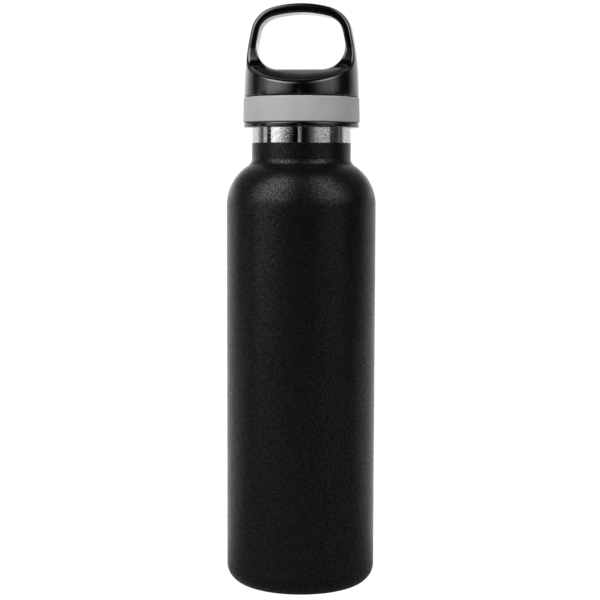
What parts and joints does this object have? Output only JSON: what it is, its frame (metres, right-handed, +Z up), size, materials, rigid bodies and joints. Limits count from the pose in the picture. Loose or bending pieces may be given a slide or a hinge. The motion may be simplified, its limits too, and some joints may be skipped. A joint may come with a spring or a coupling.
{
  "type": "insulated water bottle",
  "caption": "Tall round double-walled steel bottle with a sloped shoulder, closed by a threaded screw cap that carries a grip ring and a rigid loop handle.",
  "frame": {"origin": "centre of the foot the bottle stands on, on the bottle's axis", "axes": "+Z up along the bottle's axis; the handle's loop is seen along Y, with its width along X"},
  "size_m": [0.0734, 0.0734, 0.2865],
  "materials": {
    "powder_coat": "fine textured matte black powder coat on steel",
    "bare_steel": "polished stainless steel",
    "liner_steel": "satin electropolished stainless steel",
    "solder": "dull solder",
    "copper": "bright copper wrap",
    "getter": "matte pressed powder",
    "seal_silicone": "satin translucent silicone",
    "ring_silicone": "matte grey silicone",
    "gloss_black": "glossy black moulded plastic",
    "foam": "white closed-cell foam"
  },
  "bodies": {
    "bottle": {"outer_shell": "powder_coat", "outer_base": "powder_coat", "base_disc": "bare_steel", "vacuum_port_plug": "solder", "inner_vessel": "liner_steel", "inner_base": "liner_steel", "copper_shield": "copper", "getter_cup": "liner_steel", "getter_pellet": "getter"},
    "seal": {"mouth_gasket": "seal_silicone"},
    "cap": {"threaded_plug": "gloss_black", "plug_end_cap": "gloss_black", "plug_foam": "foam", "grip_ring": "ring_silicone", "cap_body": "gloss_black"}
  },
  "joints": [
    {"name": "cap_lift", "type": "slide", "parent": "bottle", "child": "seal", "axis": [0, 0, 1], "range_m": [0, 0.024]},
    {"name": "cap_turn", "type": "hinge", "parent": "seal", "child": "cap", "pos_m": [0, 0, 0.2304], "axis": [0, 0, 1], "range_deg": [0, 720]}
  ],
  "couplings": [
    {"joint": "cap_lift", "follows": "cap_turn", "m_per_rad": 0.0019099}
  ]
}
